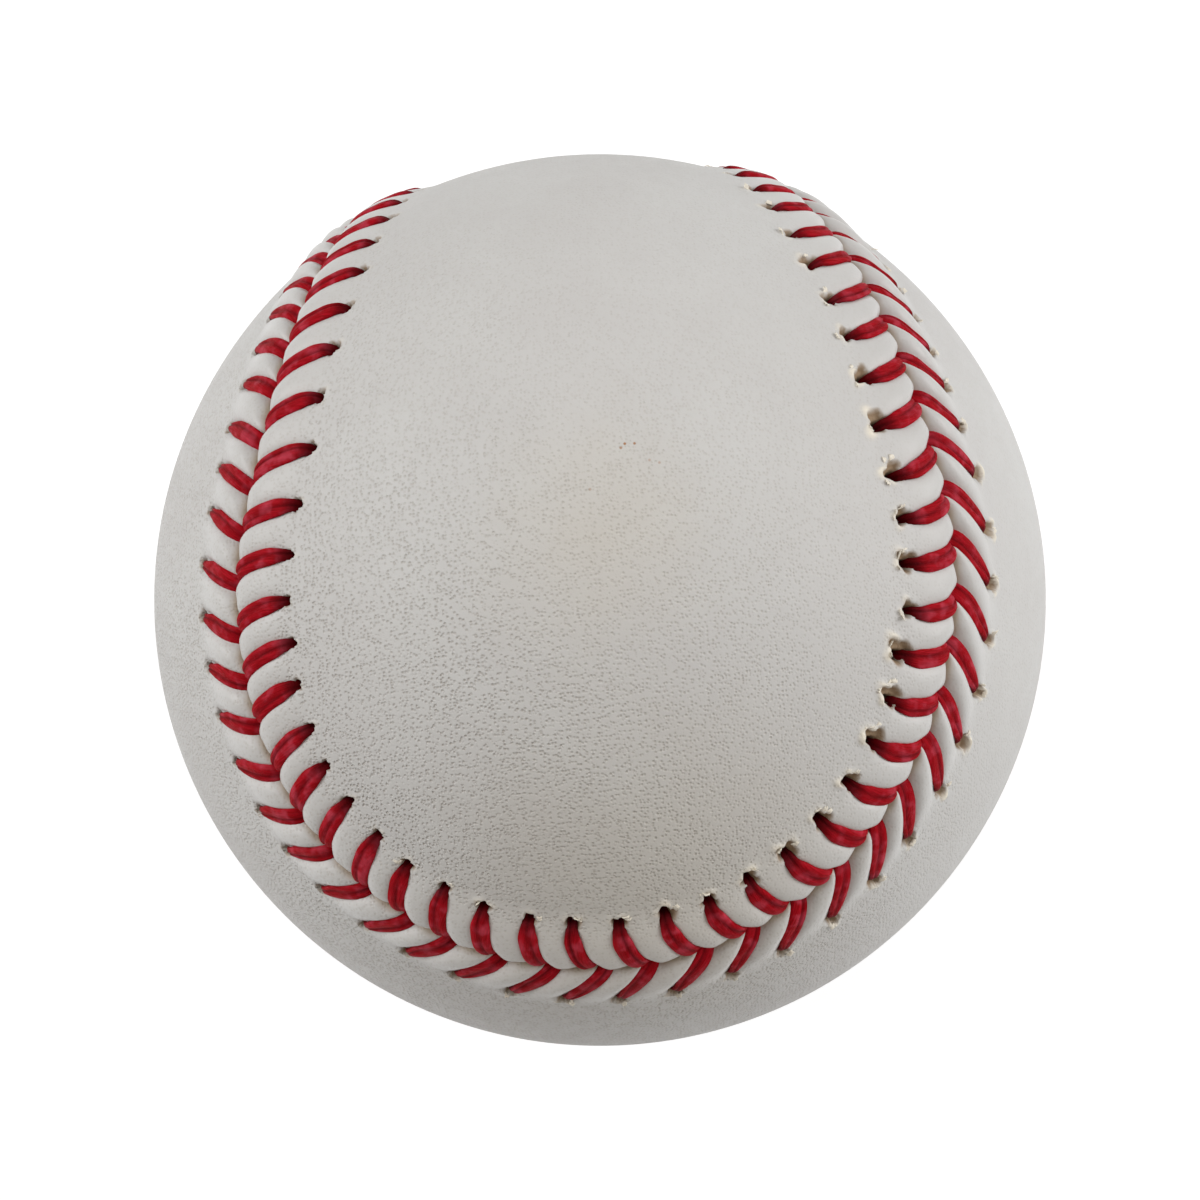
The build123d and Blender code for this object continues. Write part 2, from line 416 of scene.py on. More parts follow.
def bezier(points, share):
    """Points of a cubic curve."""
    start, first, second, end = np.array(points, float)
    t = np.asarray(share, float)[..., None]
    return start * (1 - t)**3 + 3 * first * t * (1 - t)**2 + 3 * second * t * t * (1 - t) + end * t**3


def torn_places(stitch):
    """How roughly the holes are torn, from 0 to 1: rough in one stretch of the seam and neat elsewhere."""
    return ((1 + np.cos(2 * math.pi * (stitch - torn_middle) / stitch_count)) / 2)**torn_fall


def sewing(side):
    """How each stitch of one panel came out: place and reach of its hole, and the leg's own sizes."""
    def spread(amount):
        return random.uniform(-amount, amount, stitch_count)
    numbers = np.arange(stitch_count)
    wide = nearness(numbers, wide_middle, wide_reach)
    slim = nearness(numbers, slim_middle, slim_reach)
    rough = torn_places(numbers)
    sewn = {
        "side": side,
        "hole": first_hole + hole_shift[side] + numbers + spread(hole_spread),
        "reach": hole_reach[side] + wide_growth * wide + spread(reach_spread),
        "lead": 1 - wide_slant_loss * wide + spread(lead_spread),
        "width": leg_width * (1 - slim_loss * slim + spread(width_spread)),
        "thickness": leg_thickness * (1 + spread(thickness_spread)),
        "bed": bed_depth[side] * (1 + spread(bed_spread)),
        "groove": spread(math.pi),
        "tear": random.uniform(*tear_range, stitch_count) * (neat_tear + rough_tear * rough),
        "rough": rough,
        "beyond": hole_beyond[side] * (1 + rough),
        "half_along": hole_half_along[side] * (1 + rough_along * rough),
        "half_across": hole_half_across[side] * (1 + rough_across * rough),
        "way": np.where(np.abs(numbers - torn_middle) > torn_reach, -1, 1),
        "size": 1 + spread(size_spread),
        "phases": random.uniform(0, 2 * math.pi, (stitch_count, 3)),
    }
    sewn["grown_along"] = tear_along[side] * sewn["tear"] * rough
    sewn["grown_across"] = tear_across[side] * sewn["tear"] * rough
    return sewn


def one_stitch(stitches, number):
    """The values of one stitch, out of a panel's rows of them."""
    return {key: values[number] for key, values in stitches.items() if key != "side"}


def leg_shape(side):
    """A leg's shares of the way to the seam, and how far along the seam it has come there."""
    path = bezier(leg_paths[side], np.linspace(1, 0, shape_steps))
    return path[:, 1], path[:, 0]


def leg_fade(share):
    """How much of its full depth a leg's bed has, along the way from the seam (0) to its hole (1)."""
    depth = 1
    for start, end, loss in bed_fades:
        depth = depth - loss * smooth_step(start, end, share)
    return depth


def rolled_edge(distance):
    """Height of the leather at a distance from the crease, before the thread draws it down."""
    to_crest = np.clip(1 - distance / crest_place, 0, 1)
    rolled = (1 - to_crest**edge_roundness)**(1 / edge_roundness)
    inner = -crease_depth + (crest_height + crease_depth) * rolled
    fall = np.clip((distance - crest_place) / (foot_place - crest_place), 0, 1)
    outer = crest_height * (1 + np.cos(math.pi * fall)) / 2
    return np.where(distance < crest_place, inner, outer)


def crease_shift(stitch):
    """The crease gives way towards A where A's legs go down, and towards B where B's do."""
    shift = np.zeros_like(stitch)
    for side in (1, -1):
        slant = 1 - wide_slant_loss * nearness(stitch, wide_middle, wide_reach)
        lead = leg_paths[side][3][0] * slant - hole_shift[side] - crease_lag
        apart = np.mod(stitch - (first_hole - lead) + 0.5, 1) - 0.5
        shift = shift + side * crease_wiggle * np.exp(-(apart / crease_wiggle_reach)**2)
    return shift


def ragged(angle, phases):
    """Uneven outline of a punched hole, about 1."""
    outline = 1
    for (waves, depth), phase in zip(ragged_waves, phases):
        outline = outline + depth * np.sin(waves * angle + phase)
    return outline


def band_surface(stitches, stitch, offset, distance):
    """Height of the leather beside the seam, and its shares of raw flesh, deep hole, lip and crease."""
    side = stitches["side"]
    height = rolled_edge(distance)
    reach = side * offset
    shares, leads = leg_shape(side)
    slopes = np.gradient(leads, shares)
    drawn, pit, lip, raw, deep = np.zeros((5, *height.shape))
    for number in range(stitch_count):
        sewn = one_stitch(stitches, number)
        apart = stitches_past(stitch[0], sewn["hole"])
        near = np.nonzero((apart > stitch_window[0]) & (apart < stitch_window[1]))[0]
        along = apart[near] * stitch_pitch
        away = reach[:, near]
        share = away / sewn["reach"]
        lead = sewn["lead"] * stitch_pitch
        from_leg = np.abs(along + lead * np.interp(share, shares, leads))
        slope = lead * np.interp(share, shares, slopes) / sewn["reach"]
        upright = 1 / np.sqrt(1 + slope**2)
        bed = bed_half_width / upright
        arch = np.clip((from_leg - bed) / (stitch_pitch / 2 - bed), 0, 1)
        low = 1 - (1 - (1 - arch)**pillow_powers[0])**pillow_powers[1]
        drawn[:, near] = np.maximum(drawn[:, near], sewn["bed"] * low * leg_fade(share))

        grown_along, grown_across = sewn["grown_along"], sewn["grown_across"]
        half_along, half_across = sewn["half_along"], sewn["half_across"]
        across = away - sewn["reach"] - sewn["beyond"]
        torn_along = along + sewn["way"] * grown_along / 2
        angle = np.arctan2(across - grown_across, torn_along)
        ring = np.hypot(torn_along / (half_along + grown_along / 2),
                        (across - grown_across) / (half_across + grown_across))
        ring = ring / sewn["size"] / ragged(angle, sewn["phases"])
        core = np.hypot(along / half_along, across / half_across)
        in_core = 1 - smooth_step(*core_wall, core)
        in_pit = 1 - smooth_step(*pit_wall, ring)
        outside = smooth_step(*lip_side, np.sin(angle))
        rim = np.exp(-((ring - lip_middle) / lip_breadth)**2) * outside
        uneven = lip_level + lip_sway * np.sin(lip_waves * angle + sewn["phases"][2])
        uneven = sewn["tear"] * uneven
        stands = neat_lip + (1 - neat_lip) * sewn["rough"]
        depth = torn_depth + (hole_depth - torn_depth) * in_core
        pit[:, near] = np.maximum(pit[:, near], in_pit * depth)
        # The lip's share also masks its cream colour with painted light
        lip[:, near] += uneven * rim * (1 - in_pit) * stands
        raw[:, near] = np.maximum(raw[:, near], 1 - smooth_step(*raw_wall, ring))
        # Deep core of each hole: the mask of its painted shade
        deep[:, near] = np.maximum(deep[:, near], in_pit * in_core)
    height = height - drawn + lip_height * lip - pit
    # Crease share: the mask of the tan cut edge and the painted shade in the crease
    crease = 1 - smooth_step(*crease_edge, distance)
    return height, {"raw": raw, "deep": deep, "lip": np.clip(lip, 0, 1), "crease": crease}


def band_rows():
    """Distances from the crease of the rows of the band: close at the roll and at the holes."""
    on_roll, on_slope, at_holes, at_foot = row_counts
    roll = crest_place * (1 - np.cos(np.linspace(roll_start, 0.5, on_roll) * math.pi))
    slope = np.linspace(crest_place, holes_start, on_slope)[1:]
    holes = np.linspace(holes_start, holes_end, at_holes)[1:]
    foot = np.linspace(holes_end, band_width, at_foot)[1:]
    return np.concatenate([roll, slope, holes, foot])


def band_columns():
    """Places along the seam of the columns of the band, closer beside the holes."""
    steps = np.arange(stitch_count * samples_per_stitch) / samples_per_stitch
    return steps - column_crowding * np.sin(2 * math.pi * (steps - first_hole)) / (2 * math.pi)


def chart(points, side):
    """Points of a panel laid flat, as longitude and latitude about the panel's long way."""
    x, y, z = np.moveaxis(points, -1, 0)
    if side < 0:
        x, y, z = z, -y, x
    length = np.sqrt(x * x + y * y + z * z)
    return np.stack([np.arctan2(z, y), np.arcsin(x / length)], -1)


def unchart(flat, side):
    """Directions from a panel's chart."""
    across, around = np.sin(flat[:, 1]), np.cos(flat[:, 1])
    x, y, z = across, around * np.cos(flat[:, 0]), around * np.sin(flat[:, 0])
    if side < 0:
        x, y, z = z, -y, x
    return np.stack([x, y, z], -1)


def fill_panel(loop, rows, spacing, clearance, side):
    """Triangles that close a panel inside a loop, and the directions of the points that they add."""
    step = spacing / ball_radius
    outline = chart(loop, side)
    low, high = outline.min(0), outline.max(0)
    columns = np.arange(low[0], high[0], step)
    lines = np.arange(low[1], high[1], step * math.sqrt(3) / 2)
    grid = np.array([(c + (n % 2) * step / 2, line) for n, line in enumerate(lines) for c in columns])
    directions = unchart(grid, side)
    edge = loop / np.linalg.norm(loop, axis=1)[:, None]
    nearest = np.argmax(directions @ edge.T, axis=1)
    apart = np.linalg.norm(directions - edge[nearest], axis=1) * ball_radius
    way_in = np.cross(np.roll(edge, -1, 0) - np.roll(edge, 1, 0), edge) * side
    inside = np.einsum("ij,ij->i", directions - edge[nearest], way_in[nearest]) > 0
    added = np.concatenate(rows + [directions[inside & (apart > clearance)]])
    flat = np.concatenate([outline, chart(added, side)])
    count = len(loop)
    border = [(i, (i + 1) % count) for i in range(count)]
    laid = delaunay_2d_cdt([Vector(p) for p in flat], border, [], 1, 1e-9)
    return [tuple(face) for face in laid[2]], added


def facing_out(points, faces, out):
    """Triangles turned so that they all face away from the ball's centre, or all towards it."""
    corners = points[np.array(faces)]
    normal = np.cross(corners[:, 1] - corners[:, 0], corners[:, 2] - corners[:, 0])
    wrong = np.einsum("ij,ij->i", normal, corners[:, 0]) * out < 0
    return [face[::-1] if flip else face for face, flip in zip(faces, wrong)]


def mesh_piece(name, points, faces, attributes, material):
    """A new object of the ball from points in millimetres, smooth shaded."""
    mesh = bpy.data.meshes.new(name)
    mesh.from_pydata((points * MM).tolist(), [], [tuple(int(i) for i in face) for face in faces])
    mesh.polygons.foreach_set("use_smooth", [True] * len(mesh.polygons))
    for key, values in attributes.items():
        kind, field = ("FLOAT", "value") if values.ndim == 1 else ("FLOAT_VECTOR", "vector")
        made = mesh.attributes.new(key, kind, "POINT")
        made.data.foreach_set(field, values.astype(np.float32).ravel())
    mesh.materials.append(material)
    piece = bpy.data.objects.new(name, mesh)
    bpy.context.scene.collection.objects.link(piece)
    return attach(piece, "root")


def ring_faces(rings, count):
    """Faces between closed rings of points that follow one another."""
    here = np.arange(count)
    beyond = np.roll(here, -1)
    faces = []
    for ring in range(rings - 1):
        low, high = ring * count, (ring + 1) * count
        faces.extend(zip(here + low, beyond + low, beyond + high, here + high))
    return faces


def sheet_faces(wide, tall):
    """Faces of a thin closed sheet whose points come as two layers of a grid, front and back."""
    grid = np.arange(wide * tall).reshape(tall, wide)
    faces = [(grid[r, c], grid[r, c + 1], grid[r + 1, c + 1], grid[r + 1, c])
             for r in range(tall - 1) for c in range(wide - 1)]
    faces += [tuple(i + wide * tall for i in face[::-1]) for face in faces]
    border = list(grid[0]) + list(grid[1:, -1]) + list(grid[-1, -2::-1]) + list(grid[-2:0:-1, 0])
    for first, second in zip(border, border[1:] + border[:1]):
        faces.append((second, first, first + wide * tall, second + wide * tall))
    return faces


def torn_chips(stitches):
    """Curled scraps of leather that stand round the rougher holes of a panel."""
    side = stitches["side"]
    wide, tall = chip_grid
    aside = np.linspace(-1, 1, wide)
    risen = np.linspace(0, 1, tall)[:, None]
    points = [np.zeros((0, 3))]
    faces = []
    for number in range(stitch_count):
        sewn = one_stitch(stitches, number)
        grown_along, grown_across = sewn["grown_along"], sewn["grown_across"]
        count = int(round(chips_per_hole[side] * sewn["rough"]))
        for angle in np.radians(random.uniform(*chip_angles, count)):
            angle = angle if sewn["way"] > 0 else math.pi - angle
            length = random.uniform(*chip_length)
            width = random.uniform(*chip_width)
            lean = math.radians(random.uniform(*chip_lean))
            curl = math.radians(random.uniform(*chip_curl))
            along = math.cos(angle) * (sewn["half_along"] + grown_along / 2) * chip_ring
            along = along - sewn["way"] * grown_along / 2
            across = math.sin(angle) * (sewn["half_across"] + grown_across) * chip_ring
            across = across + sewn["beyond"] + grown_across
            stitch = sewn["hole"] + along / stitch_pitch
            away = sewn["reach"] + across
            outward, forward, into_a = cover_frame(stitch, side * away)
            radial = forward * math.cos(angle) + into_a * side * math.sin(angle)
            tangent = np.cross(outward, radial)
            base = outward * (ball_radius + rolled_edge(np.array(away)) - chip_root)
            wave = aside * random.uniform(*chip_top_waves) + random.uniform(*chip_top_start)
            edge = chip_top[0] + chip_top[1] * np.abs(np.sin(wave))
            turn = lean - curl * risen * edge
            rise_by = np.tile(edge * length / (tall - 1), (tall - 1, 1))
            steps = np.concatenate([np.zeros((1, wide)), rise_by])
            out = np.cumsum(steps * np.cos(turn), axis=0)
            up = np.cumsum(steps * np.sin(turn), axis=0)
            spread = aside * width / 2 * (1 - chip_narrowing * risen)
            layers = []
            for thick in (chip_thickness / 2, -chip_thickness / 2):
                thinned = thick * (1 - chip_thinning * risen)
                layers.append(base + radial * (out - np.sin(turn) * thinned)[..., None]
                              + outward * (up + np.cos(turn) * thinned)[..., None]
                              + tangent * spread[..., None])
            start = sum(len(block) for block in points)
            faces += [tuple(i + start for i in face) for face in sheet_faces(wide, tall)]
            points.append(np.concatenate(layers).reshape(-1, 3))
    return np.concatenate(points), faces


def cover_panel(stitches):
    """One leather panel: the sewn band along the seam, the open leather, and the lining face."""
    side = stitches["side"]
    rows = band_rows()
    columns = band_columns()
    count = len(columns)
    stitch = np.broadcast_to(columns, (len(rows), count))
    distance = np.broadcast_to(rows[:, None], stitch.shape)
    offset = side * distance + crease_shift(stitch) * np.exp(-(distance / crest_place)**2)
    height, shares = band_surface(stitches, stitch, offset, distance)
    band = cover_point(stitch, offset, height)

    grown = [cover_point(columns[every // 2::every], side * (band_width + more), np.zeros(1))
             for every, more in open_rings]
    grown = [points / ball_radius for points in grown]
    open_faces, open_points = fill_panel(band[-1], grown, open_spacing, open_clearance, side)

    lining_edge = cover_point(columns, offset[0], np.full(count, -cover_thickness - lining_drop))
    lining_rows = [cover_point(columns[::every], side * away, np.zeros(1)) / ball_radius
                   for every, away in lining_rings]
    lining_faces, lining_points = fill_panel(lining_edge, lining_rows, lining_spacing, lining_clearance,
                                             side)

    blocks = [band.reshape(-1, 3), open_points * ball_radius, lining_edge]
    blocks.append(lining_points * (ball_radius - cover_thickness))
    starts = np.cumsum([0] + [len(block) for block in blocks])
    points = np.concatenate(blocks)

    here = np.arange(count)
    beyond = np.roll(here, -1)
    faces = ring_faces(len(rows), count)
    faces.extend(zip(here + starts[2], beyond + starts[2], beyond, here))
    if side > 0:
        faces = [face[::-1] for face in faces]
    shift_open = np.concatenate([here + starts[1] - count, np.arange(len(open_points)) + starts[1]])
    shift_lining = np.concatenate([here + starts[2], np.arange(len(lining_points)) + starts[3]])
    faces += facing_out(points, [tuple(shift_open[list(face)]) for face in open_faces], 1)
    faces += facing_out(points, [tuple(shift_lining[list(face)]) for face in lining_faces], -1)

    shares["near_seam"] = 1 - smooth_step(near_seam_start, band_width, distance)
    chips, chip_faces = torn_chips(stitches)
    faces += [tuple(i + len(points) for i in face) for face in chip_faces]
    lining = np.ones(len(points) - starts[2])
    attributes = {}
    for key, values in shares.items():
        inner = lining if key == "raw" else lining * 0
        # The scraps take the lip's cream colour with its painted light in full
        on_chips = np.full(len(chips), 1.0 if key == "lip" else 0.0)
        attributes[key] = np.concatenate([values.ravel(), np.zeros(len(open_points)), inner, on_chips])
    return np.concatenate([points, chips]), faces, attributes


def leg_stations(stitches, number):
    """One stitch's way out of its hole and over the leather into the seam, with the leg's sizes."""
    side = stitches["side"]
    sewn = one_stitch(stitches, number)
    reach = sewn["reach"]
    bend = hole_bend * (1 - np.cos(np.linspace(0, 0.5, bend_steps) * math.pi))
    curve = bezier(leg_paths[side], np.linspace(0, 1, curve_steps))
    strides = np.hypot(np.diff(curve[:, 0]) * stitch_pitch, np.diff(curve[:, 1]) * reach)
    gone = np.concatenate([[0], np.cumsum(strides)])
    stops = np.concatenate([bend, np.linspace(bend[-1], gone[-1], leg_steps)[1:]])
    lead = np.interp(stops, gone, curve[:, 0]) * sewn["lead"]
    share = np.interp(stops, gone, curve[:, 1])
    stitch = sewn["hole"] - lead
    distance = share * reach
    done = stops / gone[-1]
    bed = rolled_edge(np.maximum(distance, least_distance)) - sewn["bed"] * leg_fade(share)
    fullness = hole_thinness + (1 - hole_thinness) * smooth_step(0, full_thickness_at, done)
    thickness = sewn["thickness"] * fullness
    height = bed + thickness * lying_share
    turn = np.clip(hole_bend - stops, 0, None)
    height = height - hole_bend + np.sqrt(hole_bend**2 - turn**2)
    height = height - dive_depth * smooth_step(dive_start, 1, done)
    start, end = leg_ends[side]
    taper = smooth_step(0, leg_tapers[side], done)
    narrow = (start + (1 - start) * taper) * (1 - (1 - end) * smooth_step(last_taper_start, 1, done))
    width = sewn["width"] * narrow
    return stitch, side * distance, height, width, thickness, done


def thread_stations(rows, first_side):
    """The whole way of one thread round the ball, from each hole over, down, and under to the next."""
    parts = []
    for step in range(stitch_count):
        fold = 1 if step % 2 == 0 else -1
        side = first_side * fold
        number = (-step) % stitch_count
        turns = -step - number
        stitch, offset, height, width, thickness, done = leg_stations(rows[side], number)
        stitch = stitch + turns
        after = (-step - 1) % stitch_count
        target = rows[-side]["hole"][after] + (-step - 1 - after)
        target_offset = -side * (rows[-side]["reach"][after] - hidden_end_gap)
        under = np.linspace(hidden_start, 1, hidden_steps)
        hidden_stitch = stitch[-1] + under * (target - stitch[-1])
        hidden_offset = offset[-1] + under * (target_offset - offset[-1])
        rising = [-hidden_depth + lift for lift in rises]
        sunk = [-hidden_depth + sink]
        out_of_sight = hidden_steps + 1
        stitch = np.concatenate([stitch[:1], stitch[:1], stitch, stitch[-1:], hidden_stitch])
        offset = np.concatenate([offset[:1], offset[:1], offset, offset[-1:] * 0, hidden_offset])
        height = np.concatenate([rising, height, sunk, np.full(hidden_steps, -hidden_depth)])
        width = np.concatenate([np.full(2, hole_width), width, np.full(out_of_sight, hidden_width)])
        thickness = np.concatenate([np.full(2, hole_thickness), thickness,
                                    np.full(out_of_sight, hidden_thickness)])
        done = np.concatenate([np.zeros(2), done, np.ones(out_of_sight)])
        marks = np.full(len(stitch), rows[side]["groove"][number])
        folds = np.full(len(stitch), fold)
        parts.append(np.stack([stitch, offset, height, width, thickness, done, marks, folds], -1))
    return np.concatenate(parts)


def stitch_thread(rows, first_side):
    """One flattened two-ply thread, as rings of points along its way."""
    stations = thread_stations(rows, first_side)
    stitch, offset, height, width, thickness, done, marks, fold = stations.T
    middle = cover_point(stitch, offset, height)
    outward, forward, across = cover_frame(stitch, offset)
    ahead = np.gradient(middle, axis=0)
    ahead = ahead / np.linalg.norm(ahead, axis=1)[:, None]
    along_way = np.gradient(stitch) * stitch_pitch
    across_way = np.gradient(offset)
    lying = forward * along_way[:, None] + across * across_way[:, None]
    flat = np.cross(lying, outward) * fold[:, None]
    steep = np.linalg.norm(lying, axis=1) < upright_under
    upright = forward * (np.sign(offset) * fold)[:, None]
    flat[steep] = upright[steep]
    flat = flat - ahead * np.einsum("ij,ij->i", flat, ahead)[:, None]
    flat = flat / np.linalg.norm(flat, axis=1)[:, None]
    up = np.cross(ahead, flat)

    angle = np.arange(ring_points) / ring_points * 2 * math.pi
    aside = np.sign(np.cos(angle)) * np.abs(np.cos(angle))**ring_squareness
    lift = np.sign(np.sin(angle)) * np.abs(np.sin(angle))**ring_squareness
    gone = np.concatenate([[0], np.cumsum(np.linalg.norm(np.diff(middle, axis=0), axis=1))])
    groove = groove_sway * np.sin(marks + groove_turn * done)
    valley = ply_groove * np.exp(-((aside - groove[:, None] * np.sign(lift)) / groove_breadth)**2)
    ring_x = aside * width[:, None] / 2
    ring_y = lift * (1 - valley) * thickness[:, None] / 2
    points = middle[:, None] + flat[:, None] * ring_x[..., None] + up[:, None] * ring_y[..., None]
    end_ring = np.arange(ring_points)
    faces = ring_faces(len(stations), ring_points)
    faces.append(tuple(end_ring[::-1]))
    faces.append(tuple(end_ring + (len(stations) - 1) * ring_points))
    girth = ring_x + thickness_in_girth * np.abs(ring_y) * np.sign(aside)
    fibre = np.stack([np.broadcast_to(gone[:, None], girth.shape), girth * np.sign(lift + 1e-6),
                      np.broadcast_to(np.sign(aside - groove[:, None]), girth.shape)], -1)
    # The valley share shapes the groove and masks its painted shade
    attributes = {
        "fibre": fibre.reshape(-1, 3),
        "valley": (valley / ply_groove).ravel(),
        "in_hole": np.broadcast_to((1 - smooth_step(*hole_shade, done))[:, None], girth.shape).ravel(),
    }
    return points.reshape(-1, 3), faces, attributes


def srgb(red, green, blue):
    """A colour given as it looks on a screen, as the linear colour that a shader takes."""
    def linear(level):
        level = level / 255
        return level / 12.92 if level <= 0.04045 else ((level + 0.055) / 1.055)**2.4
    return (linear(red), linear(green), linear(blue), 1)


class Shading:
    """A material under construction: makes nodes and joins their sockets."""

    def __init__(self, name):
        self.material = bpy.data.materials.new(name)
        self.material.use_nodes = True
        self.tree = self.material.node_tree
        self.shader = self.tree.nodes["Principled BSDF"]
        self.place = self.node("TexCoord").outputs["Object"]

    def node(self, kind, inputs=None, **settings):
        made = self.tree.nodes.new("ShaderNode" + kind)
        for key, value in settings.items():
            setattr(made, key, value)
        for key, value in (inputs or {}).items():
            self.put(made.inputs[key], value)
        return made

    def put(self, socket, value):
        if isinstance(value, bpy.types.NodeSocket):
            self.tree.links.new(value, socket)
        else:
            socket.default_value = value

    def math(self, operation, *values):
        return self.node("Math", dict(enumerate(values)), operation=operation).outputs[0]

    def times(self, first, second):
        return self.math("MULTIPLY", first, second)

    def times_plus(self, first, second, third):
        return self.math("MULTIPLY_ADD", first, second, third)

    def ramp(self, value, low, high, to_low=0.0, to_high=1.0):
        inputs = dict(enumerate((value, low, high, to_low, to_high)))
        return self.node("MapRange", inputs, interpolation_type="SMOOTHSTEP").outputs[0]

    def mix(self, share, first, second):
        return self.node("Mix", {"Factor": share, 6: first, 7: second}, data_type="RGBA").outputs[2]

    def noise(self, place, scale, detail=2.0, roughness=0.5):
        inputs = {"Vector": place, "Scale": scale, "Detail": detail, "Roughness": roughness}
        return self.node("TexNoise", inputs).outputs[0]

    def attribute(self, name):
        return self.node("Attribute", attribute_name=name)

    def apart(self, x, y):
        made = self.node("VectorMath", {0: self.place, 1: on_top(x, y)}, operation="DISTANCE")
        return made.outputs["Value"]

    def finish(self, colour, roughness, bump=None, depth=0.0001, strength=1.0, **fixed):
        self.put(self.shader.inputs["Base Color"], colour)
        self.put(self.shader.inputs["Roughness"], roughness)
        if bump is not None:
            relief = self.node("Bump", {"Height": bump, "Distance": depth, "Strength": strength})
            self.put(self.shader.inputs["Normal"], relief.outputs[0])
        for key, value in fixed.items():
            self.put(self.shader.inputs[key.replace("_", " ")], value)
        return self.material


def leather_material():
    """White leather: pores with dirt and painted shade, wrinkles, stains and specks, raw flesh, painted
    shade in the holes, a tan cut edge with painted shade at the crease, and cream lips brightened with
    painted light.
    """
    make = Shading("white_leather")
    place = make.place
    raw, crease, deep, lip, near_seam = (make.attribute(name).outputs["Fac"]
                                         for name in ("raw", "crease", "deep", "lip", "near_seam"))

    sway = make.node("TexNoise", {"Vector": place, "Scale": 1400.0, "Detail": 2.0})
    moved = make.node("VectorMath", {0: sway.outputs["Color"], 1: (pore_sway,) * 3, 2: place},
                      operation="MULTIPLY_ADD").outputs[0]
    pores = make.node("TexVoronoi", {"Vector": moved, "Scale": pore_scale, "Randomness": 0.75})
    chance = make.node("SeparateColor", {"Color": pores.outputs["Color"]}).outputs[0]
    pore = make.math("SUBTRACT", 1.0, make.ramp(pores.outputs["Distance"], 0.08, 0.55))
    pore = make.times(pore, make.ramp(chance, 0.0, 1.0, 0.7, 1.0))
    patches = make.ramp(make.noise(place, 70.0, 3.0), 0.3, 0.65, 0.7, 1.0)
    pore = make.times(pore, patches)
    pore = make.times(pore, make.ramp(near_seam, 0.0, 1.0, 1.0, 0.55))
    toward = make.node("VectorMath", {0: place, 1: coarse_way}, operation="DOT_PRODUCT")
    between = [along * MM for along in coarse_places]
    pore = make.times(pore, make.ramp(toward.outputs["Value"], *between, *coarse_shares))
    wrinkles = make.node("TexNoise", {"Vector": moved, "Scale": 800.0, "Detail": 3.0},
                         noise_type="RIDGED_MULTIFRACTAL")
    fold = make.ramp(wrinkles.outputs[0], 0.75, 1.5)
    fold = make.times(fold, make.ramp(make.noise(place, 45.0, 2.0), 0.4, 0.65))
    grain = make.noise(place, 5200.0, 3.0, 0.6)

    relief = make.times_plus(pore, -1.2, make.times(grain, 0.3))
    relief = make.times_plus(fold, -0.3, relief)
    relief = make.times(relief, make.ramp(near_seam, 0.0, 1.0, 1.0, 0.5))

    clouds = make.ramp(make.noise(place, 55.0, 4.0, 0.6), 0.3, 0.7)
    colour = make.mix(clouds, *(srgb(*tone) for tone in leather_tones))
    uneven = make.noise(place, 180.0, 4.0)
    for stain, (reach, strength) in stains.items():
        spread = make.times_plus(uneven, 8 * MM, make.apart(*stain))
        colour = make.mix(make.ramp(spread, 3 * MM, reach * MM, strength, 0.0), colour, srgb(*stain_tone))
    # Pores darkened by dirt and painted shade, darker wrinkles, and the crease's tan cut edge with painted
    # shade
    for mark, strength, tone in ((pore, 0.36, pore_dirt_and_shade_tone), (fold, 0.15, wrinkle_tone),
                                 (crease, 0.8, edge_tan_and_crease_shade_tone)):
        colour = make.mix(make.times(mark, strength), colour, srgb(*tone))
    for speck, strength in specks.items():
        near = make.ramp(make.apart(*speck), 0.05 * MM, speck_size * MM, strength, 0.0)
        colour = make.mix(near, colour, srgb(*speck_tone))
    colour = make.mix(raw, colour, srgb(*raw_tone))
    # Painted shade in the deep core of each hole
    colour = make.mix(deep, colour, srgb(*painted_pit_shade_tone))
    # Lips and scraps: cream torn fibres, brightened with painted light
    colour = make.mix(make.times(lip, 0.9), colour, srgb(*torn_cream_and_painted_light_tone))
    shine = make.ramp(make.noise(place, 700.0, 2.0), 0.3, 0.7, 0.5, 0.6)
    shine = make.times_plus(near_seam, -0.22, shine)
    shine = make.times_plus(raw, 0.4, shine)
    return make.finish(colour, shine, relief, 0.00006, 0.85, Specular_IOR_Level=0.25)


def thread_material():
    """Red waxed thread: fibres along its lay, pale patches of painted highlight and lint, and painted shade
    in the groove and in the holes.
    """
    make = Shading("red_thread")
    fibre = make.node("SeparateXYZ", {"Vector": make.attribute("fibre").outputs["Vector"]}).outputs
    valley = make.attribute("valley").outputs["Fac"]
    in_hole = make.attribute("in_hole").outputs["Fac"]
    slant = make.times_plus(fibre[0], 0.15, fibre[1])
    lay = make.node("CombineXYZ", {"X": make.times(fibre[0], 0.5),
                                   "Y": make.times(slant, 7.0),
                                   "Z": make.times(fibre[2], 3.0)}).outputs[0]
    strands = make.noise(lay, 1.6, 4.0, 0.65)
    patches = make.noise(make.place, 900.0, 2.0)
    colour = make.mix(make.ramp(strands, 0.3, 0.72), *(srgb(*tone) for tone in thread_tones))
    # Pale pink patches: painted highlight, partly lint
    colour = make.mix(make.ramp(patches, 0.45, 0.75, 0.0, 0.5), colour, srgb(*lint_and_highlight_tone))
    # Painted shade in the groove between the plies
    colour = make.mix(make.times(valley, 0.7), colour, srgb(*painted_groove_shade_tone))
    colour = make.mix(make.times(in_hole, 0.8), colour, srgb(*shaded_tone))
    shine = make.ramp(strands, 0.2, 0.8, 0.6, 0.42)
    return make.finish(colour, shine, strands, 0.0001, 0.6, Specular_IOR_Level=0.04)


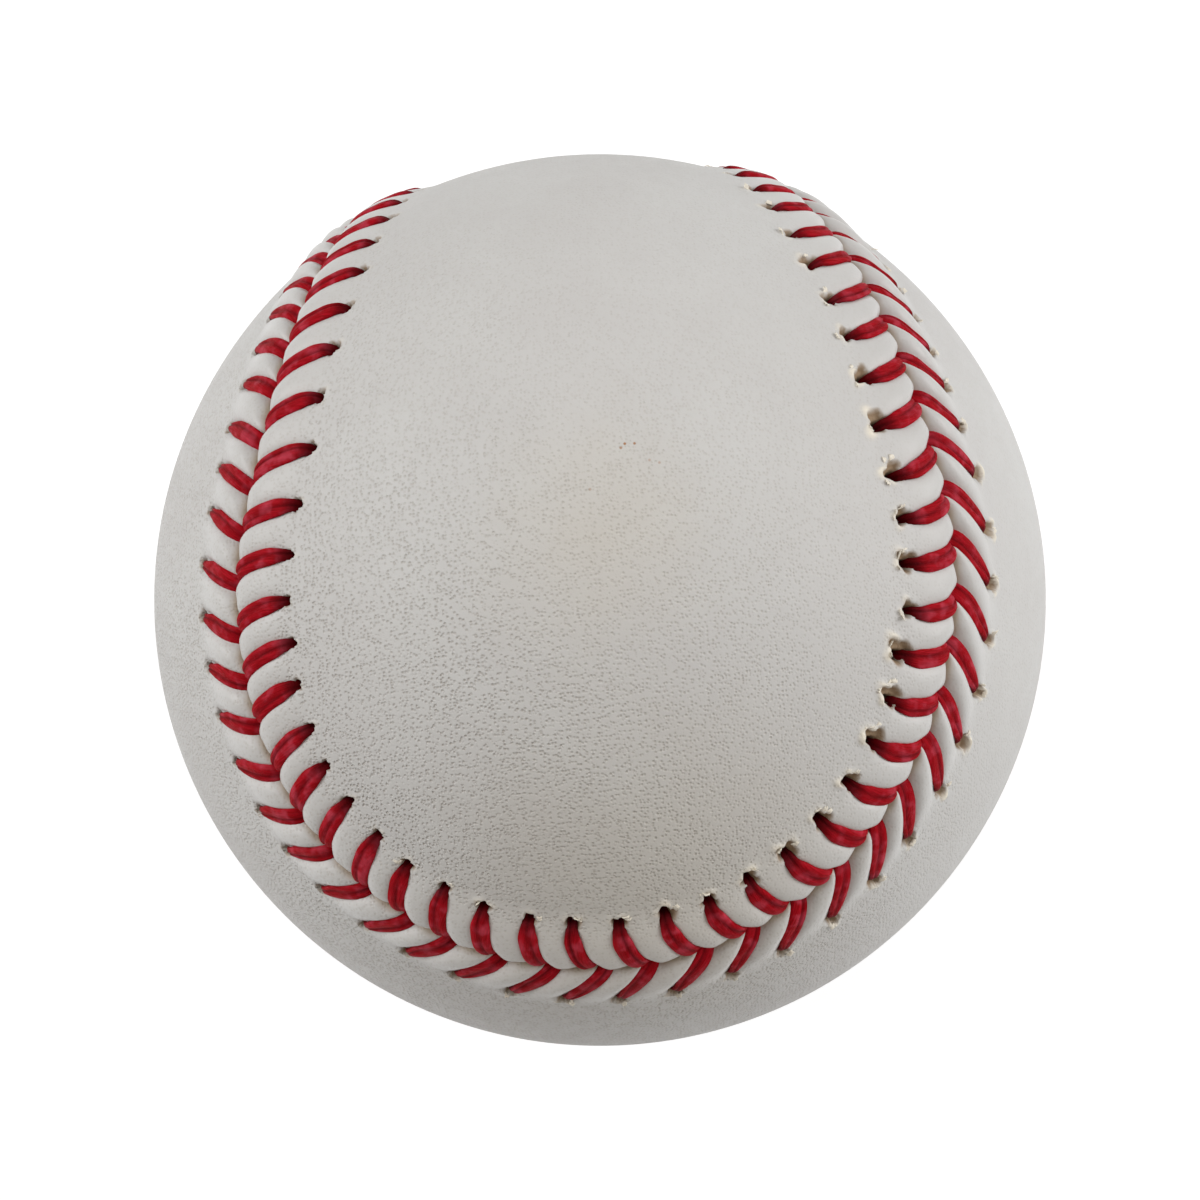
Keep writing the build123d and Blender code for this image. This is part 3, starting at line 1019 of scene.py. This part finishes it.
def yarn_material(name, dark, light, turns):
    """Wound yarn: bands of strands that cross in patches."""
    make = Shading(name)
    place = make.place
    patch = make.node("TexVoronoi", {"Vector": place, "Scale": 90.0})
    turned = make.node("VectorRotate", {"Vector": place, "Rotation": patch.outputs["Color"]},
                       rotation_type="EULER_XYZ")
    strands = make.node("TexWave", {"Vector": turned.outputs[0], "Scale": turns, "Distortion": 2.0})
    strand = strands.outputs["Fac"]
    fuzz = make.noise(place, 2500.0, 4.0, 0.7)
    colour = make.mix(make.times_plus(fuzz, 0.5, make.times(strand, 0.5)), dark, light)
    return make.finish(colour, 0.9, make.math("ADD", strand, fuzz), 0.0003, 0.8, Sheen_Weight=0.4)


def rubber_material(name, dark, light):
    """Moulded rubber with a dusty bloom."""
    make = Shading(name)
    place = make.place
    bloom = make.noise(place, 160.0, 5.0, 0.65)
    speck = make.noise(place, 3000.0, 2.0)
    colour = make.mix(make.ramp(bloom, 0.35, 0.7), dark, light)
    shine = make.ramp(bloom, 0.3, 0.7, 0.5, 0.75)
    return make.finish(colour, shine, speck, 0.00005, 0.5)


def cork_material():
    """Pressed cork and rubber grains."""
    make = Shading("cork")
    place = make.place
    grains = make.node("TexVoronoi", {"Vector": place, "Scale": 800.0})
    gap = make.node("TexVoronoi", {"Vector": place, "Scale": 800.0}, feature="DISTANCE_TO_EDGE")
    tone = make.node("SeparateColor", {"Color": grains.outputs["Color"]}).outputs[0]
    colour = make.mix(tone, srgb(150, 104, 62), srgb(196, 152, 104))
    colour = make.mix(make.ramp(gap.outputs["Distance"], 0.0, 0.12, 0.7, 0.0), colour, srgb(70, 44, 26))
    return make.finish(colour, 0.85, gap.outputs["Distance"], 0.0002, 0.7)


def cement_material():
    """Dried latex cement: a thin yellowed skin with pools."""
    make = Shading("cement")
    place = make.place
    pools = make.noise(place, 220.0, 4.0, 0.6)
    colour = make.mix(make.ramp(pools, 0.35, 0.65), srgb(206, 190, 150), srgb(226, 214, 182))
    return make.finish(colour, make.ramp(pools, 0.3, 0.7, 0.3, 0.55), pools, 0.0002, 0.6)


def floor_material():
    """A pale floor that the camera sees as white, apart from the ball's soft shadow."""
    make = Shading("floor")
    path = make.node("LightPath")
    seen = make.math("MAXIMUM", path.outputs["Is Camera Ray"], path.outputs["Is Glossy Ray"])
    place = make.place
    speck = make.ramp(make.noise(place, 30.0), 0.3, 0.7)
    pale = make.mix(speck, srgb(202, 203, 205), srgb(206, 207, 209))
    thin = make.mix(speck, srgb(140, 140, 140), srgb(142, 142, 142))
    shown = make.mix(seen, pale, thin)
    make.put(make.shader.inputs["Emission Color"], (1, 1, 1, 1))
    away = make.node("VectorMath", {0: place}, operation="LENGTH").outputs["Value"]
    glow = make.ramp(away, 0.2, 0.6, 0.86, 1.0)
    make.put(make.shader.inputs["Emission Strength"], make.times(seen, glow))
    return make.finish(shown, 0.9, Specular_IOR_Level=0.1)


def build_floor():
    """A wide floor under the ball, round so that it has no corner in view."""
    angles = np.arange(floor_sides) / floor_sides * 2 * math.pi
    points = [(r * math.cos(a), r * math.sin(a), cad_low.z) for r in floor_rings for a in angles]
    points.append((0, 0, cad_low.z))
    sides = [(n, (n + 1) % floor_sides) for n in range(floor_sides)]
    faces = [(len(points) - 1, here, beyond) for here, beyond in sides]
    for ring in range(len(floor_rings) - 1):
        inner, outer = ring * floor_sides, (ring + 1) * floor_sides
        faces += [(inner + here, outer + here, outer + beyond, inner + beyond) for here, beyond in sides]
    mesh = bpy.data.meshes.new("floor")
    mesh.from_pydata(points, [], faces)
    mesh.materials.append(floor_material())
    floor = bpy.data.objects.new("floor", mesh)
    bpy.context.scene.collection.objects.link(floor)


def build_world():
    """Faint warm light from all round, seen by the camera as white."""
    world = bpy.data.worlds.new("studio")
    bpy.context.scene.world = world
    world.use_nodes = True
    tree = world.node_tree
    path = tree.nodes.new("ShaderNodeLightPath")
    level = tree.nodes.new("ShaderNodeMix")
    level.data_type = "RGBA"
    level.inputs[6].default_value = (*(sky_light * share for share in sky_warmth), 1)
    level.inputs[7].default_value = (1, 1, 1, 1)
    tree.links.new(path.outputs["Is Camera Ray"], level.inputs[0])
    tree.links.new(level.outputs[2], tree.nodes["Background"].inputs["Color"])


def way_out(azimuth, elevation):
    """Direction from the ball's centre, by its side and height in radians."""
    level = math.cos(elevation)
    return Vector((math.sin(azimuth) * level, -math.cos(azimuth) * level, math.sin(elevation)))


def light_soft_box(name, azimuth, elevation, share, blue):
    """A square soft box aimed at the ball, giving a share of the light at which white looks white."""
    away = way_out(math.radians(azimuth), math.radians(elevation))
    lamp = bpy.data.lights.new(name, "AREA")
    lamp.size = box_size
    lamp.energy = share * (math.pi * box_distance)**2
    lamp.color = (1, (1 + blue) / 2, blue)
    box = bpy.data.objects.new(name, lamp)
    box.location = away * box_distance
    box.rotation_euler = away.to_track_quat("Z", "Y").to_euler()
    bpy.context.scene.collection.objects.link(box)


def build_camera():
    """The photograph's camera, aimed at the ball's centre."""
    elevation, azimuth, roll = (math.radians(a) for a in (camera_elevation, camera_azimuth, camera_roll))
    back = way_out(azimuth, elevation)
    level = Vector((math.cos(azimuth), math.sin(azimuth), 0))
    raised = back.cross(level)
    right = level * math.cos(roll) + raised * math.sin(roll)
    up = raised * math.cos(roll) - level * math.sin(roll)
    turn = Matrix((right, up, back)).transposed().to_4x4()
    data = bpy.data.cameras.new("camera")
    data.sensor_width = sensor_width
    data.lens = camera_lens
    data.clip_start, data.clip_end = 0.01, 10
    camera = bpy.data.objects.new("camera", data)
    camera.matrix_world = Matrix.Translation(back * camera_distance * ball_radius * MM) @ turn
    bpy.context.scene.collection.objects.link(camera)
    bpy.context.scene.camera = camera


leather = leather_material()
red_thread = thread_material()
rows = {1: sewing(1), -1: sewing(-1)}
for side, letter in ((1, "a"), (-1, "b")):
    panel = mesh_piece("leather_" + letter, *cover_panel(rows[side]), leather)
    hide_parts("cover_panel_" + letter)
    thread = mesh_piece("thread_" + letter, *stitch_thread(rows, side), red_thread)
    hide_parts("stitch_thread_" + letter)

black = rubber_material("black_rubber", srgb(28, 27, 27), srgb(52, 50, 49))
red = rubber_material("red_rubber", srgb(120, 36, 30), srgb(150, 62, 50))
grey = yarn_material("grey_wool", srgb(104, 102, 100), srgb(168, 164, 158), 900.0)
white = yarn_material("white_wool", srgb(186, 180, 168), srgb(232, 228, 218), 900.0)
cotton = yarn_material("fine_cotton", srgb(200, 192, 176), srgb(236, 230, 216), 1600.0)
cement = cement_material()
finishes = {
    "cork_core": cork_material(),
    "inner_shell_upper": black,
    "inner_shell_lower": black,
    "gasket_right": red,
    "gasket_left": red,
    "rubber_jacket": red,
    "winding_grey_four_ply": grey,
    "winding_white_three_ply": white,
    "winding_grey_three_ply": grey,
    "winding_fine_cotton": cotton,
    "cement_a": cement,
    "cement_b": cement,
}
for name, finish in finishes.items():
    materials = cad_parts[name].data.materials
    materials.clear()
    materials.append(finish)

build_floor()
build_world()
for name, given in soft_boxes.items():
    light_soft_box(name, *given)
build_camera()
bpy.context.scene.view_settings.view_transform = "Standard"
